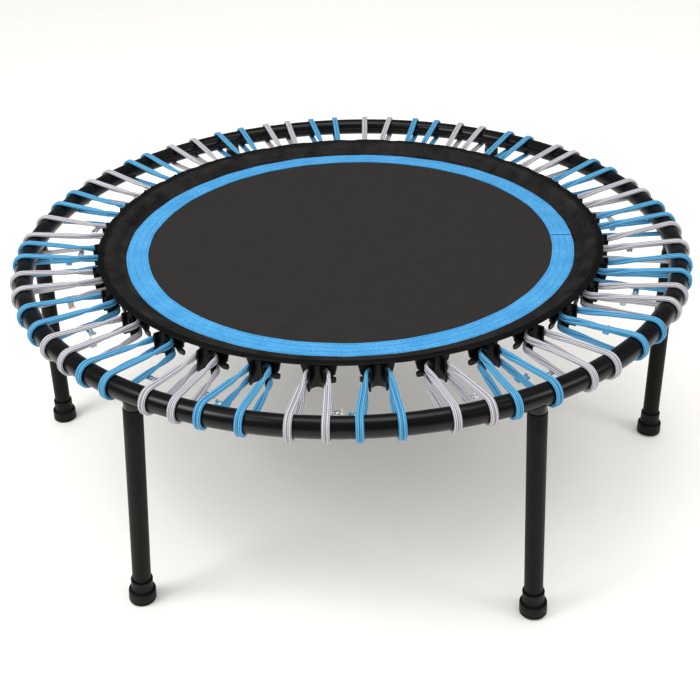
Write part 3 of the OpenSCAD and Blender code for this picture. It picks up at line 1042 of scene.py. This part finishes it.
def makeStraps():
    look, clip = strapLook, clipLook
    low, high, thick, end = look["lowLayer"], look["topLayer"], look["thick"], look["innerEnd"]
    loop = clip["barRadius"] + 0.2 + thick / 2
    bends = [radians(130 - 260 * k / 14) for k in range(15)]
    line = [(end, high), (335, high), (350, high - 0.05)]
    line += [(clip["barAt"] + loop * cos(a), clip["barHeight"] + loop * sin(a)) for a in bends]
    line = [Vector(p) for p in line + [(350, low - 0.3), (335, low), (end, low)]]
    left, right = zip(*[edgesAt(line, k, thick / 2) for k in range(len(line))])
    strap = pushed(left + right[::-1], -look["width"] / 2, look["width"] / 2, 0.25)
    finished("clipStraps", moved(strap, upToRing @ quarterTurn), strapWebbing, 50, "mat", "strap_webbing",
        "clip_straps", everyClip, lambda x, y, z: (-y, x))
    under = layout["ringHeight"] + low - thick / 2
    half, near, far = look["sewnHalf"], look["sewnFrom"], look["sewnTo"]
    route = [(-half, near), (half, near), (half, far), (-half, far), (-half, near), (half, far),
        (half, near), (-half, far)]
    points = []
    for (x0, y0), (x1, y1) in zip(route, route[1:]):
        points += [(x0 + (x1 - x0) * t / 6, -(y0 + (y1 - y0) * t / 6), under) for t in range(6)]
    stitches = pathPiece("strapStitches", points, [(0, 0, 1)] * len(points))
    copiedRound(stitched(stitches, 4.0, 3.2, 0.8, 31, blackThread), blackThread, *everyClip)
    stand(stitches, "mat", "strap_webbing", "clip_straps")


makeClips()
makeStraps()
print("clips and straps are made")

# Bungee loops.

cordLook = {"diameter": 5.0, "apart": 2.45, "sides": 14, "wrapEnds": 95.0, "gap": 0.5, "turnHigh": 1.5,
    "turnLow": -15.6, "turnGap": 0.8, "turnSteps": 20, "wrapSteps": 26, "strandSteps": 22,
    "twistFrom": 0.55, "sway": 0.8, "cut": 4, "blendOuter": 475.0, "blendInner": 395.0}
crimpLook = {"length": 11.0, "halfWidth": 4.6, "halfHeight": 3.2, "height": -23.4, "back": 56.0,
    "step": 6.0, "beside": 7.0, "tail": 5.0, "cord": 2.2, "cordAside": 2.2, "sides": 20, "cordSides": 10}


# Where each loop wraps the frame, in degrees from its clip: left and right. The loops lie as they
# were pulled on, and those beside a leg or a screw stand clear of it.
loopWraps = [
    (-3.9, 1.7), (-2.2, 2.9), (-4.6, 1.8), (-3.0, 1.9), (-2.3, 3.5), (-0.6, 4.4), (-1.5, 3.9), (-1.7, 5.4),
    (-2.0, 3.2), (-2.1, 2.7), (-2.0, 3.0), (-2.5, 1.9), (-1.8, 2.9), (-1.7, 3.4), (-2.4, 2.5), (-2.9, 2.7),
    (-1.8, 3.5), (-2.4, 2.5), (-2.9, 2.5), (-2.8, 2.8), (-2.0, 2.6), (-2.5, 2.9), (-2.5, 2.9), (-2.1, 5.4),
    (-2.4, 2.7), (-1.9, 3.6), (-1.2, 5.1), (-1.1, 4.4), (-2.1, 3.0), (-0.9, 3.9), (-3.4, 2.5), (-2.1, 2.9),
]


def turnRadius(z):
    share = (z - clipLook["low"]) / (clipLook["top"] - clipLook["low"])
    barrel = clipLook["lowRadius"] + (clipLook["topRadius"] - clipLook["lowRadius"]) * share
    return barrel + cordLook["turnGap"] + cordLook["diameter"] / 2


# Places along the cords, each with the direction that the two cords lie side by side in.
def turnPlaces(z, first, last):
    r, steps = turnRadius(z), cordLook["turnSteps"]
    angles = [radians(first + (last - first) * k / steps) for k in range(steps + 1)]
    return [(Vector((r * cos(a), -clipLook["barrelAt"] + r * sin(a), z)), Vector((0, 0, 1)))
        for a in angles]


def wrapPlaces(degrees, first, last):
    turn, steps = radians(degrees), cordLook["wrapSteps"]
    wide = Vector((cos(turn), sin(turn), 0))
    r = layout["tubeRadius"] + cordLook["gap"] + cordLook["diameter"] / 2
    made = []
    for k in range(steps + 1):
        a = radians(first + (last - first) * k / steps)
        reach = layout["ringRadius"] + r * cos(a)
        made.append((Vector((reach * sin(turn), -reach * cos(turn), r * sin(a))), wide))
    return made


def strandPlaces(wrapEnd, turnEnd):
    sway = Vector((random.uniform(-1, 1), 0, random.uniform(-1, 0.3))) * cordLook["sway"]
    made = []
    for k in range(1, cordLook["strandSteps"]):
        t = k / cordLook["strandSteps"]
        twist = radians(90) * ease((t - cordLook["twistFrom"]) / (1 - cordLook["twistFrom"]))
        place = wrapEnd[0].lerp(turnEnd[0], t) + sway * sin(math.pi * t)
        made.append((place, wrapEnd[1] * cos(twist) + Vector((0, 0, sin(twist)))))
    return made


# The loop starts and ends in the straight of an upper strand, so its ends meet squarely.
def loopRoute(k):
    high, low = turnPlaces(cordLook["turnHigh"], 0, 180), turnPlaces(cordLook["turnLow"], 180, 0)
    ends, cut = cordLook["wrapEnds"], cordLook["cut"]
    left, right = wrapPlaces(loopWraps[k][0], ends, -ends), wrapPlaces(loopWraps[k][1], -ends, ends)
    closing = strandPlaces(right[-1], high[0])
    route = closing[cut:] + high
    route += strandPlaces(left[0], high[-1])[::-1] + left
    route += strandPlaces(left[-1], low[0]) + low
    route += strandPlaces(right[0], low[-1])[::-1] + right
    route += closing[:cut + 1]
    points = [p for p, _ in route]
    for _ in range(3):
        eased = [(a + b * 2 + c) / 4 for a, b, c in zip(points, points[1:], points[2:])]
        points = [points[0], *eased, points[-1]]
    points[0] = points[-1] = (points[0] + points[-1]) / 2
    along = (points[1] - points[-2]).normalized()
    points[1] = points[0] + along * (points[1] - points[0]).length
    points[-2] = points[0] - along * (points[-2] - points[0]).length
    return points, [w for _, w in route]


def makeBungee(k, node, sheath):
    points, wides = loopRoute(k)
    turn = atAngle(layout["firstClip"] + clipPitch * k)
    spin = turn.to_3x3()
    piece = pathPiece(node.replace("_", ""), [turn @ p for p in points], [spin @ w for w in wides])
    applyTree(piece, tubesAlongPath, Radius=cordLook["diameter"] / 2 * mm, Spread=cordLook["apart"] * mm,
        Sides=cordLook["sides"], Material=sheath)
    return blendCord(piece, node)


def blendCord(piece, node):
    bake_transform(piece)
    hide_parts(node)
    return piece


# The pressed sleeve that joins a loop's ends: the cords bend down into one end and their cut tails leave
# the other.
def makeCrimp(k, node, sheath):
    look = crimpLook
    side = -1 if k % 3 == 0 else 1
    reach = layout["ringRadius"] - look["back"] - look["step"] * (k % 3)
    wrap = radians(loopWraps[k][(side + 1) // 2])
    share = (layout["ringRadius"] - reach) / (layout["ringRadius"] - clipLook["barrelAt"])
    across = layout["ringRadius"] * sin(wrap) * (1 - share) + side * turnRadius(cordLook["turnLow"]) * share
    middle = Matrix.Translation((across + side * look["beside"], -reach, look["height"]))
    corners, faces, painted = [], [], []

    def addRings(rings, material):
        start, n = len(corners), len(rings[0])
        made = ringFaces(len(rings), n, False) + endFaces(len(rings), n)
        corners.extend(c for ring in rings for c in ring)
        faces.extend(tuple(start + i for i in face) for face in made)
        painted.extend([material] * len(made))

    half = look["length"] / 2
    shape = [(-half, 0.62), (-half + 0.05, 0.9), (-half + 0.6, 1.0), (-2.6, 0.98), (-2.0, 0.8),
        (-1.0, 0.74), (-0.4, 0.9), (0.4, 0.9), (1.0, 0.74), (2.0, 0.8), (2.6, 0.98), (half - 0.6, 1.0),
        (half - 0.05, 0.9), (half, 0.62)]
    addRings([[(x, look["halfWidth"] * (0.6 + 0.4 * g) * cos(a), look["halfHeight"] * g * sin(a))
               for a in turns(look["sides"])] for x, g in shape], 0)
    for number, aside in enumerate((-look["cordAside"], look["cordAside"])):
        tail = look["tail"] * random.uniform(0.8, 1.15)
        bend = [(-half * 0.8, aside, 0), (-half - 1.0, aside, 0.2), (-half - 2.2, aside * 0.95, 1.6),
            (-half - 2.4, aside * 0.85, 3.6), (-half - 1.6, aside * 0.7, 6.2)]
        cutEnd = [(half * 0.8, aside, 0), (half + 1.5, aside * 1.05, 0.1),
            (half + tail * 0.6, aside * 1.25, 0.4 + number * 0.8),
            (half + tail, aside * 1.4, 0.8 + number * 1.4)]
        for line in (bend, cutEnd):
            line = [Vector((side * x, y, z)) for x, y, z in line]
            rings = []
            for i, p in enumerate(line):
                along = heading(line, i)
                u = along.cross(Vector((0, 1, 0))).normalized()
                v = along.cross(u)
                size = look["cord"] * (0.92 if i == 0 else 1.0)
                rings.append([tuple(p + (u * cos(a) + v * sin(a)) * size) for a in turns(look["cordSides"])])
            addRings(rings, 1)
        core = ((0.2, -0.5), (0.22, 0.45), (0.45, 0.75))
        addRings([[tuple(Vector(c).lerp(line[-1], g) + along * d) for c in rings[-1]] for g, d in core], 2)
    turn = atAngle(layout["firstClip"] + clipPitch * k)
    whole = turn @ middle @ Matrix.Rotation(wrap, 4, "Z")
    piece = newPiece(node.replace("_", "") + "Crimp", [tuple(whole @ Vector(c)) for c in corners], faces,
        [aluminium, sheath, latex], painted)
    mapPiece(piece, lambda x, y, z: (atan2(y, x) * 6, z))
    facesOutward(piece)
    shadeByAngle(piece, 45)
    return blendCord(piece, node)


random.seed(41)
for k in range(layout["clipCount"]):
    colour, sheath = ("blue", blueSheath) if k % 2 == 0 else ("silver", silverSheath)
    node = f"{colour}_bungee_{k // 2 + 1}"
    makeBungee(k, node, sheath)
    makeCrimp(k, node, sheath)
print("bungee loops and crimps are made")

# Hidden hardware keeps its own shape.

for node in ("ring_joint_sleeves", *[f"leg_insert_{number}" for number in range(1, 7)]):
    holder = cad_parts[node]
    holder.data.materials.clear()
    holder.data.materials.append(zinc)

# Floor.

floorMesh = bpy.data.meshes.new("floor")
side, down = studio["floorSize"] / 2, -studio["floorDrop"]
floorMesh.from_pydata([(-side, -side, down), (side, -side, down), (side, side, down), (-side, side, down)],
    [], [(0, 1, 2, 3)])
floorMesh.materials.append(paintedFloor)
floor = placed("floor", floorMesh)
print("floor is laid")
